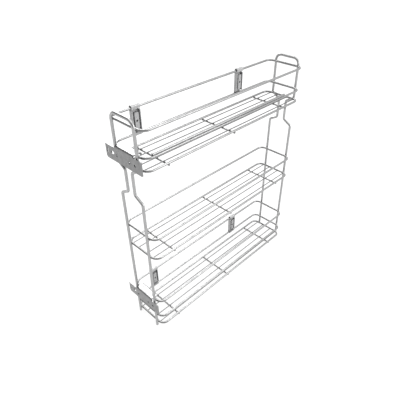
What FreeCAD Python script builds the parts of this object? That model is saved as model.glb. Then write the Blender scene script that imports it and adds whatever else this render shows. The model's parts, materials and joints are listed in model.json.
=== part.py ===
"""Wire frame of a narrow three-tier pull-out pantry unit, in millimetres.

Two jogged uprights carry three baskets of welded wire. Two brackets in front take the unit's door, and four
clips hooked over the rails of the -X side take its runners. -Y is the door's side, +X the baskets' other long
side, +Z up. The origin is on the floor, in the middle of the outer box.
"""

import FreeCAD
import Part
import Sketcher
import math
import os

Vector = FreeCAD.Vector

# Driving dimensions. A formula may use any name above it.
DIMENSIONS = [
    # wire radii
    ("upright_wire", "3.0"),
    ("rail_wire", "2.5"),
    ("cross_wire", "2.0"),
    ("floor_wire", "1.1"),
    ("weld_gap", "0.05"),
    # uprights: two inverted Us, 470 apart
    ("upright_spacing", "470"),
    ("leg_x", "31"),
    ("neck_x", "10.1"),
    ("bar_z", "515"),
    ("bar_bend", "14"),
    ("leg_bend", "6"),
    ("neck_top_z", "410.5"),
    ("neck_bottom_z", "362.5"),
    ("jog_top_z", "423.5"),
    ("jog_bottom_z", "351"),
    # rails
    ("half_width", "46"),
    ("half_depth", "=upright_spacing / 2 - upright_wire - rail_wire - weld_gap"),
    ("corner_bend", "15"),
    ("first_base_z", "7"),
    ("tier_pitch", "208"),
    ("low_rise", "25.5"),
    ("high_rise", "76.5"),
    ("guard_rise", "51"),
    ("side_wire_length", "382"),
    # basket floors
    ("cross_spacing", "179"),
    ("cross_length", "94"),
    ("cross_drop", "=rail_wire + cross_wire + weld_gap"),
    ("floor_rise", "=cross_wire + floor_wire + weld_gap"),
    ("floor_inner_x", "13.5"),
    ("floor_outer_x", "33"),
    ("floor_half_length", "=half_depth - rail_wire - 0.3"),
    # door brackets, from the flange's top face and the plate's front face
    ("plate", "2"),
    ("plate_bend", "3"),
    ("inner_bend", "=plate_bend - plate"),
    ("plate_left", "56"),
    ("plate_right", "47.5"),
    ("plate_height", "28.5"),
    ("plate_top_drop", "4"),
    ("plate_foot_drop", "=plate_top_drop + plate_height"),
    ("tip_bend", "5"),
    ("corner_round", "1.5"),
    ("flange_left", "27"),
    ("flange_right", "25"),
    ("flange_depth", "20"),
    ("lip_inner_y", "=flange_depth - plate"),
    ("lip_drop", "5.5"),
    ("screw_hole", "2.6"),
    ("hole_drop", "18.5"),
    ("hole_left_x", "23"),
    ("hole_middle_x", "13"),
    ("hole_right_x", "29"),
    ("level_slot_drop", "16"),
    ("level_slot_radius", "2.7"),
    ("level_slot_outer_x", "37.5"),
    ("level_slot_inner_x", "33.5"),
    ("height_slot_x", "50"),
    ("height_slot_radius", "2.1"),
    ("height_slot_top_drop", "12.5"),
    ("height_slot_foot_drop", "20.5"),
    # runner clips, from the lower rail's centre line
    ("clip_sheet", "1.5"),
    ("clip_width", "19.5"),
    ("clip_half_width", "=clip_width / 2"),
    ("clip_front_y", "174.5"),
    ("clip_rear_y", "115.5"),
    ("clip_inner", "=rail_wire + weld_gap"),
    ("clip_outer", "=clip_inner + clip_sheet"),
    ("hook_outer_bend", "3.5"),
    ("hook_inner_bend", "=hook_outer_bend - clip_sheet"),
    ("hook_lip_z", "2.5"),
    ("hook_crest", "5.5"),
    ("clip_span", "=high_rise - low_rise"),
    ("hook_top_z", "=clip_span + hook_crest"),
    ("hook_top_inner_z", "=hook_top_z - clip_sheet"),
    ("upper_lip_z", "=clip_span - hook_lip_z"),
    ("side_foot_z", "5"),
    ("side_top_z", "=clip_span - side_foot_z"),
    ("side_bend", "2"),
    ("pad_half_width", "4.6"),
    ("pad_half_inner", "=pad_half_width - clip_sheet"),
    ("pad_foot_z", "=clip_span / 2 - 16"),
    ("pad_top_z", "=clip_span / 2 + 16"),
    ("pad_foot_inner_z", "=pad_foot_z + clip_sheet"),
    ("pad_top_inner_z", "=pad_top_z - clip_sheet"),
    ("pad_bend", "2"),
    ("pad_inner_bend", "=pad_bend - clip_sheet"),
    ("pad_middle_z", "=clip_span / 2"),
    ("clip_hole", "2.25"),
    # the outer box: brackets' left tips to the rails' right side, brackets' faces to the rear legs
    ("plate_front", "=upright_spacing / 2 + upright_wire + weld_gap + plate"),
    ("frame_x", "=(plate_left - half_width - rail_wire) / 2"),
    ("frame_y", "=(plate_front - upright_spacing / 2 - upright_wire) / 2"),
]

doc = FreeCAD.newDocument("pantry_frame")
sheet = doc.addObject("Spreadsheet::Sheet", "dims")
for row, (alias, text) in enumerate(DIMENSIONS, 1):
    sheet.set(f"A{row}", alias)
    sheet.set(f"B{row}", text)
    sheet.setAlias(f"B{row}", alias)
doc.recompute()

sub_parts = []


def size(alias):
    """The value of one cell of the sheet."""
    return float(sheet.get(alias))


def signed(text):
    """The value of a coordinate such as "-leg_x", or of 0."""
    if text == "0":
        return 0.0
    return -size(text[1:]) if text.startswith("-") else size(text)


def place(item, x="0", y="0", z="0"):
    """Bind an object's place, given from the frame's centre line and the floor, to the sheet."""
    item.setExpression("Placement.Base.x", f"dims.frame_x + ({x})")
    item.setExpression("Placement.Base.y", f"dims.frame_y + ({y})")
    item.setExpression("Placement.Base.z", f"{z}")


def new_body(label):
    body = doc.addObject("PartDesign::Body", label)
    body.Label = label
    sub_parts.append(body)
    return body


def sketch_on(body, role, name):
    """A sketch on one of the body's own origin planes."""
    sketch = body.newObject("Sketcher::SketchObject", name)
    plane = next(item for item in body.Origin.OriginFeatures if item.Role == role)
    sketch.AttachmentSupport = (plane, [""])
    sketch.MapMode = "FlatFace"
    return sketch


def fix_coordinate(sketch, kind, geometry, point, text):
    """Hold one coordinate of a sketch point at a signed alias."""
    axis = -2 if kind == "DistanceX" else -1
    if text == "0":
        sketch.addConstraint(Sketcher.Constraint("PointOnObject", geometry, point, axis))
        return
    if text.startswith("-"):
        ends = (geometry, point, -1, 1)
    else:
        ends = (-1, 1, geometry, point)
    index = sketch.addConstraint(Sketcher.Constraint(kind, *ends, abs(signed(text))))
    sketch.setExpression(f"Constraints[{index}]", "dims." + text.lstrip("-"))


def fix_point(sketch, geometry, point, corner):
    fix_coordinate(sketch, "DistanceX", geometry, point, corner[0])
    fix_coordinate(sketch, "DistanceY", geometry, point, corner[1])


def bent_path(sketch, corners):
    """Straight runs joined by tangent arcs. A corner is (x, y, bend) or, where it is sharp, (x, y)."""
    points = [Vector(signed(corner[0]), signed(corner[1]), 0) for corner in corners]
    start = points[0]
    joined_to = None
    for number in range(1, len(points)):
        here = points[number]
        along = (here - points[number - 1]).normalize()
        bend = corners[number][2] if len(corners[number]) == 3 else None
        end = here
        if bend:
            onward = (points[number + 1] - here).normalize()
            half_turn = along.getAngle(onward) / 2
            cut_back = size(bend) * math.tan(half_turn)
            end = here - along * cut_back
        line = sketch.addGeometry(Part.LineSegment(start, end), False)
        if joined_to is None:
            fix_point(sketch, line, 1, corners[0])
        else:
            kind, geometry, point, mark = joined_to
            sketch.addConstraint(Sketcher.Constraint(kind, geometry, point, line, 1))
            if mark is not None:
                sketch.addConstraint(Sketcher.Constraint("PointOnObject", mark, 1, line))
        if bend:
            start = here + onward * cut_back
            joined_to = add_bend(sketch, line, here, end, start, onward - along, corners[number])
        else:
            start = here
            fix_point(sketch, line, 2, corners[number])
            joined_to = ("Coincident", line, 2, None)


def add_bend(sketch, line, here, end, after, inward, corner):
    """The arc that follows a line at a corner, and a mark that holds the corner where the sheet says."""
    radius = size(corner[2])
    reach = math.hypot((end - here).Length, radius)
    middle = here + inward.normalize() * reach
    left_turn = (here - end).cross(after - here).z > 0
    first, final = (end, after) if left_turn else (after, end)
    from_angle = math.atan2(first.y - middle.y, first.x - middle.x)
    to_angle = math.atan2(final.y - middle.y, final.x - middle.x)
    circle = Part.Circle(middle, Vector(0, 0, 1), radius)
    arc = sketch.addGeometry(Part.ArcOfCircle(circle, from_angle, to_angle), False)
    mark = sketch.addGeometry(Part.Point(here), True)
    arc_start, arc_end = (1, 2) if left_turn else (2, 1)
    sketch.addConstraint(Sketcher.Constraint("Tangent", line, 2, arc, arc_start))
    sketch.addConstraint(Sketcher.Constraint("PointOnObject", mark, 1, line))
    fix_point(sketch, mark, 1, corner)
    index = sketch.addConstraint(Sketcher.Constraint("Radius", arc, radius))
    sketch.setExpression(f"Constraints[{index}]", "dims." + corner[2])
    return "Tangent", arc, arc_end, mark


def circle_at(sketch, corner, radius):
    middle = Vector(signed(corner[0]), signed(corner[1]), 0)
    circle = sketch.addGeometry(Part.Circle(middle, Vector(0, 0, 1), size(radius)), False)
    fix_point(sketch, circle, 3, corner)
    index = sketch.addConstraint(Sketcher.Constraint("Radius", circle, size(radius)))
    sketch.setExpression(f"Constraints[{index}]", "dims." + radius)


def bent_wire(body, path_plane, corners, section_plane, section_centre, radius):
    """Sweep a round section along a bent path."""
    path = sketch_on(body, path_plane, body.Label + "_path")
    bent_path(path, corners)
    section = sketch_on(body, section_plane, body.Label + "_section")
    circle_at(section, section_centre, radius)
    doc.recompute()
    pipe = body.newObject("PartDesign::AdditivePipe", body.Label + "_pipe")
    pipe.Profile = section
    pipe.Spine = path
    return pipe


def upright(label, end):
    """An inverted U whose legs jog in to a narrow neck between the top and the middle basket."""
    body = new_body(label)
    left = [
        ("-leg_x", "0"),
        ("-leg_x", "jog_bottom_z", "leg_bend"),
        ("-neck_x", "neck_bottom_z", "leg_bend"),
        ("-neck_x", "neck_top_z", "leg_bend"),
        ("-leg_x", "jog_top_z", "leg_bend"),
        ("-leg_x", "bar_z", "bar_bend"),
    ]
    right = [(corner[0].lstrip("-"),) + corner[1:] for corner in reversed(left)]
    bent_wire(body, "XZ_Plane", left + right, "XY_Plane", ("-leg_x", "0"), "upright_wire")
    place(body, y=f"{end} * dims.upright_spacing / 2")


def rail_loop(label, height):
    """A closed loop of wire with round corners, welded inside the legs."""
    body = new_body(label)
    corners = [
        ("half_width", "0"),
        ("half_width", "half_depth", "corner_bend"),
        ("-half_width", "half_depth", "corner_bend"),
        ("-half_width", "-half_depth", "corner_bend"),
        ("half_width", "-half_depth", "corner_bend"),
        ("half_width", "0"),
    ]
    bent_wire(body, "XY_Plane", corners, "XZ_Plane", ("half_width", "0"), "rail_wire")
    place(body, z=height)


def straight_wire(label, radius, length, direction, x, y, z):
    """A cut length of wire that starts at x, y, z and runs along the given direction."""
    wire = doc.addObject("Part::Cylinder", label)
    wire.Label = label
    wire.setExpression("Radius", f"dims.{radius}")
    wire.setExpression("Height", length)
    wire.Placement.Rotation = FreeCAD.Rotation(Vector(0, 0, 1), direction)
    place(wire, x, y, z)
    sub_parts.append(wire)


def basket_floor(tier, base):
    """Three cross wires under a base loop, and four thin wires lying along them."""
    for name, step in (("front", -1), ("centre", 0), ("rear", 1)):
        straight_wire(
            f"{tier}_cross_wire_{name}", "cross_wire", "dims.cross_length", Vector(1, 0, 0),
            "-dims.cross_length / 2", f"{step} * dims.cross_spacing", f"{base} - dims.cross_drop",
        )
    columns = ("-dims.floor_outer_x", "-dims.floor_inner_x", "dims.floor_inner_x", "dims.floor_outer_x")
    for number, column in enumerate(columns, 1):
        straight_wire(
            f"{tier}_floor_wire_{number}", "floor_wire", "2 * dims.floor_half_length", Vector(0, 1, 0),
            column, "-dims.floor_half_length", f"{base} - dims.cross_drop + dims.floor_rise",
        )


def slot(sketch, first, last, radius):
    """A slot with round ends, centred on two points that share an x or a y."""
    start = Vector(signed(first[0]), signed(first[1]), 0)
    end = Vector(signed(last[0]), signed(last[1]), 0)
    along = (end - start).normalize()
    side = Vector(-along.y, along.x, 0) * size(radius)
    heading = math.atan2(along.y, along.x)
    quarter = math.pi / 2
    start_circle = Part.Circle(start, Vector(0, 0, 1), size(radius))
    end_circle = Part.Circle(end, Vector(0, 0, 1), size(radius))
    start_arc = sketch.addGeometry(
        Part.ArcOfCircle(start_circle, heading + quarter, heading + 3 * quarter), False
    )
    lower = sketch.addGeometry(Part.LineSegment(start - side, end - side), False)
    end_arc = sketch.addGeometry(
        Part.ArcOfCircle(end_circle, heading - quarter, heading + quarter), False
    )
    upper = sketch.addGeometry(Part.LineSegment(end + side, start + side), False)
    ring = (start_arc, lower, end_arc, upper)
    for item, following in zip(ring, ring[1:] + ring[:1]):
        sketch.addConstraint(Sketcher.Constraint("Tangent", item, 2, following, 1))
    fix_point(sketch, start_arc, 3, first)
    fix_point(sketch, end_arc, 3, last)
    index = sketch.addConstraint(Sketcher.Constraint("Radius", start_arc, size(radius)))
    sketch.setExpression(f"Constraints[{index}]", "dims." + radius)


def extrude(body, kind, role, name, offset, length, draw, backwards=False):
    """Pad or pocket what draw puts in a sketch that lies at a signed offset from an origin plane."""
    sketch = sketch_on(body, role, f"{body.Label}_{name}_outline")
    sketch.setExpression("AttachmentOffset.Base.z", offset)
    draw(sketch)
    doc.recompute()
    before = body.Shape.Volume if body.Tip else 0.0
    feature = body.newObject(f"PartDesign::{kind}", f"{body.Label}_{name}")
    feature.Profile = sketch
    feature.setExpression("Length", length)
    feature.Reversed = backwards
    doc.recompute()
    change = body.Shape.Volume - before
    if (change if kind == "Pad" else -change) < 1:
        raise SystemExit(f"{body.Label}: {name} changes the volume by {change:.1f}")


def outline(corners):
    """A drawing function for a closed outline. Its first corner is repeated as the last one."""
    return lambda sketch: bent_path(sketch, corners + [corners[0][:2]])


def bracket_openings(sketch):
    """Three screw holes on the right, and on the left a level and an upright slot."""
    for column in ("-hole_left_x", "hole_middle_x", "hole_right_x"):
        circle_at(sketch, (column, "-hole_drop"), "screw_hole")
    slot(
        sketch, ("-level_slot_outer_x", "-level_slot_drop"), ("-level_slot_inner_x", "-level_slot_drop"),
        "level_slot_radius",
    )
    slot(
        sketch, ("-height_slot_x", "-height_slot_foot_drop"), ("-height_slot_x", "-height_slot_top_drop"),
        "height_slot_radius",
    )


def door_bracket(label, rail_z):
    """A plate across the front legs, with a lipped flange that lies on the rail between them."""
    body = new_body(label)
    plate = [
        ("0", "-plate_foot_drop"),
        ("plate_right", "-plate_foot_drop", "corner_round"),
        ("plate_right", "-plate_top_drop", "corner_round"),
        ("-plate_left", "-plate_top_drop"),
        ("-plate_left", "-plate_foot_drop", "tip_bend"),
    ]
    flange = [
        ("0", "-plate_top_drop"),
        ("0", "0", "plate_bend"),
        ("flange_depth", "0", "plate_bend"),
        ("flange_depth", "-lip_drop"),
        ("lip_inner_y", "-lip_drop"),
        ("lip_inner_y", "-plate", "inner_bend"),
        ("plate", "-plate", "inner_bend"),
        ("plate", "-plate_top_drop"),
    ]
    flange_length = "dims.flange_left + dims.flange_right"
    extrude(body, "Pad", "XZ_Plane", "plate", "0 mm", "dims.plate", outline(plate), backwards=True)
    extrude(body, "Pad", "YZ_Plane", "flange", "-dims.flange_left", flange_length, outline(flange))
    extrude(body, "Pocket", "XZ_Plane", "openings", "0 mm", "dims.plate", bracket_openings)
    top = f"{rail_z} + dims.rail_wire + dims.weld_gap + dims.plate"
    place(body, y="-dims.plate_front", z=top)


def runner_clip(label, y, lower_rail_z):
    """A channel of sheet hooked round two rails, with a boxed pad that the runner's screw goes through."""
    body = new_body(label)
    strip = [
        ("clip_outer", "hook_lip_z"),
        ("clip_inner", "hook_lip_z"),
        ("clip_inner", "-clip_inner", "hook_inner_bend"),
        ("-clip_inner", "-clip_inner", "hook_inner_bend"),
        ("-clip_inner", "hook_top_inner_z", "hook_inner_bend"),
        ("clip_inner", "hook_top_inner_z", "hook_inner_bend"),
        ("clip_inner", "upper_lip_z"),
        ("clip_outer", "upper_lip_z"),
        ("clip_outer", "hook_top_z", "hook_outer_bend"),
        ("-clip_outer", "hook_top_z", "hook_outer_bend"),
        ("-clip_outer", "-clip_outer", "hook_outer_bend"),
        ("clip_outer", "-clip_outer", "hook_outer_bend"),
    ]
    side = [
        ("-clip_outer", "side_foot_z"),
        ("clip_outer", "side_foot_z", "side_bend"),
        ("clip_outer", "side_top_z", "side_bend"),
        ("-clip_outer", "side_top_z"),
    ]
    pad = [
        ("pad_half_width", "pad_middle_z"),
        ("pad_half_width", "pad_top_z", "pad_bend"),
        ("-pad_half_width", "pad_top_z", "pad_bend"),
        ("-pad_half_width", "pad_foot_z", "pad_bend"),
        ("pad_half_width", "pad_foot_z", "pad_bend"),
    ]
    hollow = [
        ("pad_half_inner", "pad_middle_z"),
        ("pad_half_inner", "pad_top_inner_z", "pad_inner_bend"),
        ("-pad_half_inner", "pad_top_inner_z", "pad_inner_bend"),
        ("-pad_half_inner", "pad_foot_inner_z", "pad_inner_bend"),
        ("pad_half_inner", "pad_foot_inner_z", "pad_inner_bend"),
    ]
    back = "-dims.clip_outer"
    wall = "-dims.clip_inner"
    front = "dims.clip_half_width"
    rear = "dims.clip_sheet - dims.clip_half_width"
    sheet_metal = "dims.clip_sheet"
    depth = "2 * dims.clip_outer"
    hollow_depth = "2 * dims.clip_inner"
    extrude(body, "Pad", "XZ_Plane", "strip", front, "dims.clip_width", outline(strip), backwards=True)
    extrude(body, "Pad", "XZ_Plane", "front_side", front, sheet_metal, outline(side), backwards=True)
    extrude(body, "Pad", "XZ_Plane", "rear_side", rear, sheet_metal, outline(side), backwards=True)
    extrude(body, "Pad", "YZ_Plane", "pad", back, depth, outline(pad))
    extrude(body, "Pocket", "YZ_Plane", "hollow", wall, hollow_depth, outline(hollow), backwards=True)
    extrude(
        body, "Pocket", "YZ_Plane", "hole", back, depth,
        lambda sketch: circle_at(sketch, ("0", "pad_middle_z"), "clip_hole"), backwards=True,
    )
    place(body, "-dims.half_width", y, lower_rail_z)


upright("front_upright", -1)
upright("rear_upright", 1)
base_heights = {
    "bottom": "dims.first_base_z",
    "middle": "(dims.first_base_z + dims.tier_pitch)",
    "top": "(dims.first_base_z + 2 * dims.tier_pitch)",
}
for tier, base in base_heights.items():
    rail_loop(f"{tier}_base_rail", base)
    if tier == "middle":
        rail_loop("middle_guard_rail", f"{base} + dims.guard_rise")
    else:
        rail_loop(f"{tier}_lower_rail", f"{base} + dims.low_rise")
        rail_loop(f"{tier}_upper_rail", f"{base} + dims.high_rise")
    basket_floor(tier, base)
# a cut wire lies along the +X side of the top basket's lower rail, and starts where the corner bend ends
straight_wire(
    "top_side_wire", "rail_wire", "dims.side_wire_length", Vector(0, 1, 0),
    "dims.half_width", "dims.corner_bend - dims.half_depth",
    f"{base_heights['top']} + dims.low_rise + 2 * dims.rail_wire + dims.weld_gap",
)
door_bracket("upper_door_bracket", f"{base_heights['top']} + dims.low_rise")
door_bracket("lower_door_bracket", f"{base_heights['bottom']} + dims.high_rise")
for level, tier in (("upper", "top"), ("lower", "bottom")):
    for end, y in (("front", "-dims.clip_front_y"), ("rear", "dims.clip_rear_y")):
        runner_clip(f"{level}_{end}_runner_clip", y, f"{base_heights[tier]} + dims.low_rise")

doc.recompute()

for item in doc.Objects:
    if "Invalid" in item.State or "Error" in item.State:
        raise SystemExit(f"{item.Label}: {item.State}")
os.makedirs("parts", exist_ok=True)
for item in sub_parts:
    if item.Shape.isNull() or not item.Shape.isValid():
        raise SystemExit(f"{item.Label}: bad shape")
    item.Shape.exportStep(f"parts/{item.Label}.step")
    print(item.Label, len(item.Shape.Solids), round(item.Shape.Volume, 1))
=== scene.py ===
"""Looks, light and camera for a wire frame of a pull-out pantry unit. Metres; +Z up, -Y the door side.

The CAD nodes keep their shapes and get plated-steel materials. The welds that join them are added here.
"""
import json
import math

import bmesh
import bpy
from mathutils import Matrix, Quaternion, Vector, noise


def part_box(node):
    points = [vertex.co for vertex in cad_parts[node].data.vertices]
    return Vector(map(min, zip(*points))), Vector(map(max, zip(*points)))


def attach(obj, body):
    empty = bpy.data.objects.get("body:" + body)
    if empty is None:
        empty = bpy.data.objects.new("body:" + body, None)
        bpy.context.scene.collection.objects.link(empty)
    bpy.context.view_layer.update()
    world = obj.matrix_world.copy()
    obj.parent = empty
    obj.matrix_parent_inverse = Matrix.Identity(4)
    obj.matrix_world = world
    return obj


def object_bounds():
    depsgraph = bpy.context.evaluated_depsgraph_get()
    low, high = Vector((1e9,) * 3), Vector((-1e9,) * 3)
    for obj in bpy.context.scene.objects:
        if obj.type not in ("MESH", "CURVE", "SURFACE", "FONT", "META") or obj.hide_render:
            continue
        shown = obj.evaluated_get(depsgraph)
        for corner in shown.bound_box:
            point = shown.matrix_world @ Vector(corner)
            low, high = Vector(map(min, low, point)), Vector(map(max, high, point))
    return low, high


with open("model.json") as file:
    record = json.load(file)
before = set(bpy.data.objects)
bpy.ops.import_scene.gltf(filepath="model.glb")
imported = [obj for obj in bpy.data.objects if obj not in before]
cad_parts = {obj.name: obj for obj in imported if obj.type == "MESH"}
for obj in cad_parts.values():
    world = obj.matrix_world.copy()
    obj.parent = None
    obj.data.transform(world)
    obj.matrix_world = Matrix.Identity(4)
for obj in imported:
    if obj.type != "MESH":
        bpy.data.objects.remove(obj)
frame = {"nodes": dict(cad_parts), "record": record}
cad_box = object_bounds()
nodes = frame["nodes"]
slots = {part["node"]: part["material_slot"] for part in frame["record"]["subparts"]}

MM = 0.001
AXIS_X, AXIS_Y, AXIS_Z = Vector((1, 0, 0)), Vector((0, 1, 0)), Vector((0, 0, 1))

TIERS = {
    "top": ("top_base_rail", "top_lower_rail", "top_upper_rail"),
    "middle": ("middle_base_rail", "middle_guard_rail"),
    "bottom": ("bottom_base_rail", "bottom_lower_rail", "bottom_upper_rail"),
}
UPRIGHTS = ("front_upright", "rear_upright")
BRACKET_RAILS = {
    "upper_door_bracket": "top_lower_rail",
    "lower_door_bracket": "bottom_upper_rail",
}


def middle(name):
    """The middle of a CAD node's box."""
    low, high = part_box(name)
    return (low + high) / 2


def half_height(name):
    """A wire's radius, where the wire lies flat."""
    low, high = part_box(name)
    return (high.z - low.z) / 2


def half_depth(name):
    """An upright's wire radius."""
    low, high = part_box(name)
    return (high.y - low.y) / 2


def add_object(name, data):
    """A new object in the scene."""
    item = bpy.data.objects.new(name, data)
    bpy.context.scene.collection.objects.link(item)
    return item


# ---------------------------------------------------------------- materials

# the Mix node's sockets
MIX_FACTOR = 0
MIX_NUMBERS = (2, 3)
MIX_COLORS = (6, 7)
MIX_COLOR_RESULT = 2


class Shader:
    """A short way to build a material's node tree."""

    def __init__(self, name):
        self.material = bpy.data.materials.new(name)
        self.material.use_nodes = True
        self.tree = self.material.node_tree
        self.surface = self.tree.nodes["Principled BSDF"]
        self.place = self.add("ShaderNodeTexCoord").outputs["Object"]

    def add(self, kind, **settings):
        node = self.tree.nodes.new(kind)
        for name, value in settings.items():
            setattr(node, name, value)
        return node

    def join(self, output, target):
        self.tree.links.new(output, target)

    def scaled_place(self, size, stretch=(1, 1, 1)):
        """The position in lumps of size metres, longer along a stretched axis."""
        mapping = self.add("ShaderNodeMapping")
        mapping.inputs["Scale"].default_value = [1 / size / s for s in stretch]
        self.join(self.place, mapping.inputs["Vector"])
        return mapping.outputs["Vector"]

    def noise(self, size, detail=3.0, stretch=(1, 1, 1)):
        texture = self.add("ShaderNodeTexNoise")
        texture.inputs["Scale"].default_value = 1.0
        texture.inputs["Detail"].default_value = detail
        texture.inputs["Roughness"].default_value = 0.55
        self.join(self.scaled_place(size, stretch), texture.inputs["Vector"])
        return texture.outputs["Fac"]

    def cells(self, size):
        """A random value for each crystal of about size metres."""
        texture = self.add("ShaderNodeTexVoronoi")
        texture.inputs["Scale"].default_value = 1.0
        self.join(self.scaled_place(size), texture.inputs["Vector"])
        grey = self.add("ShaderNodeRGBToBW")
        self.join(texture.outputs["Color"], grey.inputs["Color"])
        return grey.outputs["Val"]

    def spread(self, value, low, high, first=0.3, last=0.7):
        """Maps first to last, which a noise seldom leaves, onto low to high."""
        node = self.add("ShaderNodeMapRange")
        node.inputs["From Min"].default_value = first
        node.inputs["From Max"].default_value = last
        node.inputs["To Min"].default_value = low
        node.inputs["To Max"].default_value = high
        self.join(value, node.inputs["Value"])
        return node.outputs["Result"]

    def beyond(self, axis, centre, limit):
        """1 where the position along an axis, X, Y or Z, is more than limit from centre, and else 0."""
        parts = self.add("ShaderNodeSeparateXYZ")
        self.join(self.place, parts.inputs["Vector"])
        distance = self.add("ShaderNodeMath", operation="SUBTRACT")
        self.join(parts.outputs[axis], distance.inputs[0])
        distance.inputs[1].default_value = centre
        size = self.add("ShaderNodeMath", operation="ABSOLUTE")
        self.join(distance.outputs["Value"], size.inputs[0])
        test = self.add("ShaderNodeMath", operation="GREATER_THAN")
        self.join(size.outputs["Value"], test.inputs[0])
        test.inputs[1].default_value = limit
        return test.outputs["Value"]

    def choose(self, factor, first, second):
        """A number between two sockets."""
        node = self.add("ShaderNodeMix", data_type="FLOAT")
        self.join(factor, node.inputs[MIX_FACTOR])
        for socket, value in zip(MIX_NUMBERS, (first, second)):
            self.join(value, node.inputs[socket])
        return node.outputs[0]

    def mix(self, factor, first, second):
        """A colour between two, which may be colours or sockets."""
        node = self.add("ShaderNodeMix", data_type="RGBA")
        for socket, value in zip(MIX_COLORS, (first, second)):
            if hasattr(value, "links"):
                self.join(value, node.inputs[socket])
            else:
                node.inputs[socket].default_value = (*value, 1)
        self.join(factor, node.inputs[MIX_FACTOR])
        return node.outputs[MIX_COLOR_RESULT]

    def bump(self, height, distance, before=None):
        """A relief of the given depth, on top of the one before."""
        node = self.add("ShaderNodeBump")
        node.inputs["Distance"].default_value = distance
        self.join(height, node.inputs["Height"])
        if before:
            self.join(before, node.inputs["Normal"])
        return node.outputs["Normal"]

    def finish(self, color, roughness, normal, metallic=1.0):
        self.join(color, self.surface.inputs["Base Color"])
        self.join(roughness, self.surface.inputs["Roughness"])
        self.join(normal, self.surface.inputs["Normal"])
        self.surface.inputs["Metallic"].default_value = metallic
        return self.material


# how much longer a noise's lumps are along each axis
ALONG_X, ALONG_Y, ALONG_Z = (60, 1, 1), (1, 60, 1), (1, 1, 60)
ROLLED_LEVEL, ROLLED_UPRIGHT = (40, 40, 1), (1, 1, 40)


def tint(tone, red=1.0, green=1.0, blue=1.0):
    """A grey, with its channels scaled for a warm or cool cast."""
    return (tone * red, tone * green, tone * blue)


def plated_wire(name, tone, run, turned=None):
    """Bright plated wire: drawing lines along its run, clouded plating, small pits and a soft ripple.

    turned is (run, axis, centre, limit) for a wire that takes another direction beyond that limit.
    """
    shader = Shader(name)
    lines = shader.noise(0.3 * MM, detail=2, stretch=run)
    if turned:
        other_run, axis, centre, limit = turned
        other_lines = shader.noise(0.3 * MM, detail=2, stretch=other_run)
        lines = shader.choose(shader.beyond(axis, centre, limit), lines, other_lines)
    clouds = shader.noise(13 * MM, detail=4)
    mottle = shader.noise(2.2 * MM, detail=3)
    pits = shader.noise(0.8 * MM, detail=1)
    color = shader.mix(shader.spread(clouds, 0, 1), tint(tone), tint(tone * 0.84, 0.99, 1.0, 1.015))
    color = shader.mix(shader.spread(mottle, 0, 0.4), color, tint(tone * 0.74, 1.01, 1.0, 0.985))
    color = shader.mix(shader.spread(lines, 0, 0.3), color, tint(tone * 0.66))
    color = shader.mix(shader.spread(pits, 0, 0.6, 0.66, 0.74), color, tint(tone * 0.35, 1.05, 1.0, 0.93))
    normal = shader.bump(lines, 0.006 * MM)
    normal = shader.bump(mottle, 0.03 * MM, before=normal)
    return shader.finish(color, shader.spread(clouds, 0.24, 0.38), normal)


def zinc_sheet(name, tone, roughness, rolling, metallic=1.0):
    """Zinc plated sheet: small crystals, soft stains, rolling lines and dark specks."""
    shader = Shader(name)
    crystals = shader.cells(1.5 * MM)
    stains = shader.noise(8 * MM, detail=5)
    lines = shader.noise(0.25 * MM, detail=2, stretch=rolling)
    specks = shader.noise(1.1 * MM, detail=2)
    color = shader.mix(crystals, tint(tone), tint(tone * 0.8, 0.99, 1.0, 1.02))
    color = shader.mix(shader.spread(stains, 0, 0.6), color, tint(tone * 0.7))
    color = shader.mix(shader.spread(lines, 0, 0.3), color, tint(tone * 0.68))
    color = shader.mix(shader.spread(specks, 0, 0.5, 0.62, 0.72), color, tint(tone * 0.45, 1.04, 1.0, 0.95))
    normal = shader.bump(lines, 0.008 * MM)
    normal = shader.bump(stains, 0.12 * MM, before=normal)
    return shader.finish(color, shader.spread(stains, roughness, roughness + 0.14), normal, metallic)


def weld_metal(name, tone):
    """Plating over a weld: dull and lumpy, with soot-dark specks."""
    shader = Shader(name)
    lumps = shader.noise(0.5 * MM, detail=3)
    soot = shader.noise(1.2 * MM, detail=3)
    color = shader.mix(shader.spread(soot, 0, 1), tint(tone), tint(tone * 0.5, 1.03, 1.0, 0.96))
    normal = shader.bump(lumps, 0.08 * MM)
    return shader.finish(color, shader.spread(soot, 0.36, 0.55), normal)


# Beyond these limits a loop runs across its end, and an upright across its top.
loop_end_run = (ALONG_X, "Y", middle("top_upper_rail").y, 229 * MM)
top_bar_run = (ALONG_X, "Z", 0, 508 * MM)
MATERIALS = {
    "upright_wire": plated_wire("upright_plating", 0.48, ALONG_Z, top_bar_run),
    "rail_wire": plated_wire("rail_plating", 0.35, ALONG_Y, loop_end_run),
    "cross_wire": plated_wire("cross_plating", 0.34, ALONG_X),
    "floor_wire": plated_wire("floor_plating", 0.18, ALONG_Y),
    "bracket_sheet": zinc_sheet("bracket_zinc", 0.3, 0.28, ROLLED_LEVEL),
    "clip_sheet": zinc_sheet("clip_zinc", 0.5, 0.42, ROLLED_UPRIGHT, metallic=0.5),
}
weld_material = weld_metal("weld_plating", 0.34)
for name, item in nodes.items():
    item.data.materials.clear()
    item.data.materials.append(MATERIALS[slots[name]])
    for face in item.data.polygons:
        face.material_index = 0


# ---------------------------------------------------------------- welds

RING_POINTS = 20
LEVELS = 6
BURIED = 0.12 * MM  # how deep a bead reaches into the metal it joins
FLAT = 1.0  # the radius that stands for a plate

# each bead's half length along the first wire, and its half width
LEG_BEAD = (2.1 * MM, 2 * MM)
CROSS_BEAD = (1.5 * MM, 1.3 * MM)
FLOOR_BEAD = (0.95 * MM, 0.9 * MM)
STITCH_BEAD = (4 * MM, 1.7 * MM)
PLATE_LEG_BEAD = (2.6 * MM, 1.9 * MM)
PLATE_RAIL_BEAD = (3 * MM, 1.5 * MM)

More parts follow.
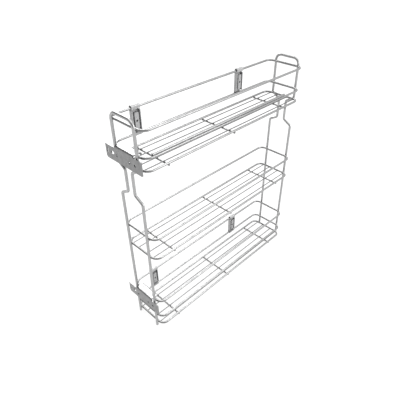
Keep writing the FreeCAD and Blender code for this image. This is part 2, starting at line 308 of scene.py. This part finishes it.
# a bracket's welds: how far below its top on the legs, and how far from the rail's middle
LEG_WELD_DROPS = (11 * MM, 27 * MM)
RAIL_WELD_STEPS = (-15 * MM, 15 * MM)

# (distance back from the rail, swell), both in wire radii
COLLAR_PROFILE = ((1.5, 0.93), (1.2, 1.06), (0.7, 1.13), (0.25, 1.26), (0, 1.42))

# (place along the wire in millimetres, swell in wire radii) of the upset at a butt weld
UPSET_PROFILE = (
    (-1.3, 0.96), (-0.9, 1.02), (-0.4, 1.1), (-0.1, 1.07),
    (0.15, 1.07), (0.45, 1.1), (0.9, 1.02), (1.3, 0.96),
)


def sink(radius, offset):
    """How far a round wire's surface falls away at an offset from its top line."""
    return radius - math.sqrt(max(radius**2 - offset**2, 0))


def unevenness(point):
    """A factor near 1 that changes over about a millimetre."""
    return 1 + 0.1 * noise.noise(point / MM)


def circle():
    """The cosine and sine that place each point of a ring."""
    for i in range(RING_POINTS):
        angle = 2 * math.pi * i / RING_POINTS
        yield math.cos(angle), math.sin(angle)


def add_bead(shape, rings):
    """A closed lump: rings of points joined into a skin, with a cap inside each wire."""
    loops = [[shape.verts.new(point) for point in ring] for ring in rings]
    for lower, upper in zip(loops, loops[1:]):
        for i in range(RING_POINTS):
            j = (i + 1) % RING_POINTS
            shape.faces.new((lower[i], lower[j], upper[j], upper[i]))
    shape.faces.new(reversed(loops[0]))
    shape.faces.new(loops[-1])


def add_fillet(shape, point, normal, wire, other, bead):
    """Weld metal squeezed out around the contact of two wires, or of a wire and a plate.

    normal points from the first wire to the other. Each of them is (direction, radius), and a plate has
    the radius FLAT.
    """
    along, radius = wire
    other_along, other_radius = other
    length, width = bead
    side = normal.cross(along).normalized()
    other_side = normal.cross(other_along).normalized()
    rings = []
    for level in range(LEVELS + 1):
        t = level / LEVELS
        waist = 1 - 0.3 * math.sin(math.pi * t)
        ring = []
        for cosine, sine in circle():
            spot = along * cosine * length + side * sine * width
            spot *= waist * unevenness(point + spot * 2)
            low = -sink(radius, spot.dot(side)) - BURIED
            high = sink(other_radius, spot.dot(other_side)) + BURIED
            ring.append(point + spot + normal * (low + (high - low) * t))
        rings.append(ring)
    add_bead(shape, rings)


def add_collar(shape, tip, out, wire_radius, rail_centre, rail_radius):
    """Weld metal around a wire's end where it meets a rail's side. out points at the rail, along Y."""
    rings = []
    for back, swell in COLLAR_PROFILE:
        ring = []
        for cosine, sine in circle():
            spot = (AXIS_X * cosine + AXIS_Z * sine) * wire_radius * swell
            spot *= unevenness(tip + spot * 2) if swell > 1 else 1
            place = tip + spot - out * back * wire_radius
            if back == 0:
                fall = sink(rail_radius, place.z - rail_centre.z)
                place.y = rail_centre.y - out.y * (rail_radius - fall - BURIED)
            ring.append(place)
        rings.append(ring)
    add_bead(shape, rings)


def add_joint_ring(shape, centre, along, radius):
    """The slight upset where a wire loop's two ends are butt welded."""
    side = along.cross(AXIS_Z)
    rings = []
    for step, swell in UPSET_PROFILE:
        ring = []
        for cosine, sine in circle():
            spot = (side * cosine + AXIS_Z * sine) * radius * swell
            ring.append(centre + spot + along * step * MM)
        rings.append(ring)
    add_bead(shape, rings)


def weld_piece(name, slot, build, *about):
    """One object that holds every weld of a kind. build adds them to its mesh, and about says where."""
    shape = bmesh.new()
    build(shape, *about)
    bmesh.ops.recalc_face_normals(shape, faces=shape.faces)
    mesh = bpy.data.meshes.new(name)
    shape.to_mesh(mesh)
    shape.free()
    mesh.materials.append(weld_material)
    mesh.shade_smooth()
    piece = add_object(name, mesh)
    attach(piece, "root")


def leg_centres(upright, z):
    """The X of an upright's two legs at a height, from rays cast along X through its wire."""
    item = nodes[upright]
    start = Vector((-1, middle(upright).y, z))
    past_wall = AXIS_X * 0.01 * MM
    walls = []
    hit, place, _, _ = item.ray_cast(start, AXIS_X)
    while hit:
        walls.append(place.x)
        hit, place, _, _ = item.ray_cast(place + past_wall, AXIS_X)
    return [(walls[i] + walls[i + 1]) / 2 for i in range(0, len(walls), 2)]


def leg_welds(shape, rails):
    """Where the rails' ends lie against the uprights' inner sides."""
    for upright in UPRIGHTS:
        centre = middle(upright)
        leg_radius = half_depth(upright)
        inward = AXIS_Y if centre.y < 0 else -AXIS_Y
        for rail in rails:
            z = middle(rail).z
            above = leg_centres(upright, z + MM)
            for x, x_above in zip(leg_centres(upright, z), above):
                contact = Vector((x, centre.y, z)) + inward * leg_radius
                leg_run = Vector((x_above - x, 0, MM)).normalized()
                rail_radius = half_height(rail)
                add_fillet(shape, contact, inward, (leg_run, leg_radius), (AXIS_X, rail_radius), LEG_BEAD)


def tier_wires(tier, kind):
    return [name for name in sorted(nodes) if name.startswith(f"{tier}_{kind}_wire")]


def cross_welds(shape, tier):
    """Where the cross wires lie under the base rail's two sides."""
    rail = f"{tier}_base_rail"
    low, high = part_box(rail)
    rail_radius = half_height(rail)
    for wire in tier_wires(tier, "cross"):
        cross = (AXIS_X, half_height(wire))
        for x in (low.x + rail_radius, high.x - rail_radius):
            contact = Vector((x, middle(wire).y, low.z))
            add_fillet(shape, contact, -AXIS_Z, (AXIS_Y, rail_radius), cross, CROSS_BEAD)


def floor_welds(shape, tier):
    """Where the floor wires lie on the cross wires."""
    for wire in tier_wires(tier, "cross"):
        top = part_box(wire)[1].z
        cross = (AXIS_X, half_height(wire))
        for thin in tier_wires(tier, "floor"):
            contact = Vector((middle(thin).x, middle(wire).y, top))
            add_fillet(shape, contact, AXIS_Z, cross, (AXIS_Y, half_height(thin)), FLOOR_BEAD)


def floor_end_welds(shape, tier):
    """Where the floor wires' ends meet the base rail's two ends."""
    rail = f"{tier}_base_rail"
    rail_low, rail_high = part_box(rail)
    rail_radius = half_height(rail)
    for thin in tier_wires(tier, "floor"):
        low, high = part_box(thin)
        centre = middle(thin)
        for tip_y, rail_y, out in (
            (low.y, rail_low.y + rail_radius, -AXIS_Y),
            (high.y, rail_high.y - rail_radius, AXIS_Y),
        ):
            tip = Vector((centre.x, tip_y, centre.z))
            add_collar(shape, tip, out, half_height(thin), Vector((0, rail_y, middle(rail).z)), rail_radius)


def loop_joints(shape, rails):
    """Where each rail's wire closes on itself, in the middle of its rear end."""
    for rail in rails:
        radius = half_height(rail)
        rail_centre = middle(rail)
        rear_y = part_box(rail)[1].y - radius
        add_joint_ring(shape, Vector((rail_centre.x, rear_y, rail_centre.z)), AXIS_X, radius)


def side_wire_welds(shape, wire, rail):
    """Stitches along the wire that lies on a rail."""
    low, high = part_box(wire)
    under = (AXIS_Y, half_height(rail))
    over = (AXIS_Y, half_height(wire))
    stitches = 6
    inset = 5 * MM
    for i in range(stitches):
        y = low.y + inset + (high.y - low.y - 2 * inset) * i / (stitches - 1)
        contact = Vector((middle(wire).x, y, low.z))
        add_fillet(shape, contact, AXIS_Z, under, over, STITCH_BEAD)


def bracket_welds(shape, bracket, rail):
    """Where a bracket's plate lies on the front upright's legs, and its flange on a rail."""
    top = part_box(bracket)[1].z
    leg_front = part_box("front_upright")[0].y
    leg_radius = half_depth("front_upright")
    for drop in LEG_WELD_DROPS:
        z = top - drop
        for x in leg_centres("front_upright", z):
            contact = Vector((x, leg_front, z))
            add_fillet(shape, contact, -AXIS_Y, (AXIS_Z, leg_radius), (AXIS_Z, FLAT), PLATE_LEG_BEAD)
    rail_radius = half_height(rail)
    rail_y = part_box(rail)[0].y + rail_radius
    for step in RAIL_WELD_STEPS:
        contact = Vector((middle(rail).x + step, rail_y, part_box(rail)[1].z))
        add_fillet(shape, contact, AXIS_Z, (AXIS_X, rail_radius), (AXIS_X, FLAT), PLATE_RAIL_BEAD)


for tier, rails in TIERS.items():
    weld_piece(f"{tier}_leg_welds", "upright_wire", leg_welds, rails)
    weld_piece(f"{tier}_cross_welds", "cross_wire", cross_welds, tier)
    weld_piece(f"{tier}_floor_welds", "floor_wire", floor_welds, tier)
    weld_piece(f"{tier}_floor_end_welds", "floor_wire", floor_end_welds, tier)
    weld_piece(f"{tier}_loop_joints", "rail_wire", loop_joints, rails)
weld_piece("top_side_wire_welds", "rail_wire", side_wire_welds, "top_side_wire", "top_lower_rail")
for bracket, rail in BRACKET_RAILS.items():
    weld_piece(f"{bracket}_welds", "bracket_sheet", bracket_welds, bracket, rail)


# ---------------------------------------------------------------- floor, light and camera

def add_floor(glow):
    """A wide white table lit from below, which leaves only a faint shadow."""
    half_side = 30
    mesh = bpy.data.meshes.new("floor")
    shape = bmesh.new()
    bmesh.ops.create_grid(shape, x_segments=1, y_segments=1, size=half_side)
    shape.to_mesh(mesh)
    shape.free()
    floor = add_object("floor", mesh)
    floor.location.z = cad_box[0].z - MM
    shader = Shader("floor_paper")
    speckle = shader.noise(40 * MM)
    color = shader.mix(shader.spread(speckle, 0, 1), (0.16, 0.16, 0.16), (0.15, 0.15, 0.15))
    fine = shader.bump(shader.noise(2 * MM), 0.02 * MM)
    shader.surface.inputs["Emission Color"].default_value = (1, 1, 1, 1)
    shader.surface.inputs["Emission Strength"].default_value = glow
    mesh.materials.append(shader.finish(color, shader.spread(speckle, 0.85, 0.95), fine, metallic=0.0))


def outward(azimuth, elevation):
    """A direction away from the object, from angles in degrees. Azimuth 0 is at -Y, and 90 at +X."""
    a, e = math.radians(azimuth), math.radians(elevation)
    return Vector((math.sin(a) * math.cos(e), -math.cos(a) * math.cos(e), math.sin(e)))


def aim(light_object, azimuth, elevation, distance):
    """Puts a light at a distance from the object's middle and turns it there."""
    back = outward(azimuth, elevation)
    light_object.location = (cad_box[0] + cad_box[1]) / 2 + back * distance
    light_object.rotation_mode = "QUATERNION"
    light_object.rotation_quaternion = (-back).to_track_quat("-Z", "Y")


def add_light(name, kind, power):
    light = bpy.data.lights.new(name, kind)
    light.energy = power
    return add_object(name, light)


def add_sky_light(azimuth, elevation, width, power):
    """Even light from a wide patch of sky, width degrees across."""
    sky = add_light("sky_light", "SUN", power)
    sky.data.angle = math.radians(width)
    aim(sky, azimuth, elevation, 3)


def add_panel(name, azimuth, elevation, distance, width, height, power):
    """A soft rectangular light that faces the object's middle."""
    panel = add_light(name, "AREA", power)
    panel.data.shape = "RECTANGLE"
    panel.data.size = width
    panel.data.size_y = height
    aim(panel, azimuth, elevation, distance)


def add_world(front, back, horizon):
    """An even room, dim on the door's side, bright behind the object, and at the horizon like the table."""
    world = bpy.data.worlds.new("studio")
    bpy.context.scene.world = world
    world.use_nodes = True
    tree = world.node_tree
    direction = tree.nodes.new("ShaderNodeSeparateXYZ")
    tree.links.new(tree.nodes.new("ShaderNodeTexCoord").outputs["Generated"], direction.inputs["Vector"])

    def ramp(axis, first, last, low):
        """Rises smoothly from low as the direction's part along an axis goes from first to last."""
        node = tree.nodes.new("ShaderNodeMapRange")
        node.interpolation_type = "SMOOTHSTEP"
        node.inputs["From Min"].default_value = first
        node.inputs["From Max"].default_value = last
        node.inputs["To Min"].default_value = low
        tree.links.new(direction.outputs[axis], node.inputs["Value"])
        return node

    room = ramp("Y", -0.15, 0.35, front)
    room.inputs["To Max"].default_value = back
    level = ramp("Z", 0.0, 0.2, horizon)
    tree.links.new(room.outputs["Result"], level.inputs["To Max"])
    background = tree.nodes["Background"]
    background.inputs["Color"].default_value = (1, 1, 1, 1)
    tree.links.new(level.outputs["Result"], background.inputs["Strength"])


def add_camera():
    """Front right, from above, as near as in a catalogue picture."""
    data = bpy.data.cameras.new("camera")
    data.sensor_width = 36
    data.lens = 33.81
    camera = add_object("camera", data)
    place = Matrix.Translation((0.51935, -0.5657, 0.7769))
    turn = (-outward(43.885, 36.93)).to_track_quat("-Z", "Y")
    roll = Quaternion(AXIS_Z, math.radians(0.106))
    camera.matrix_world = place @ (turn @ roll).to_matrix().to_4x4()
    bpy.context.scene.camera = camera


add_floor(0.88)
add_world(0.28, 1.3, 1.0)
add_sky_light(0, 90, 80, 1.5)
add_panel("window", 243, 38, 2.2, 0.7, 1.5, 24)
add_panel("side", 115, 25, 1.3, 0.8, 0.8, 8)
add_camera()
bpy.context.scene.view_settings.view_transform = "Standard"
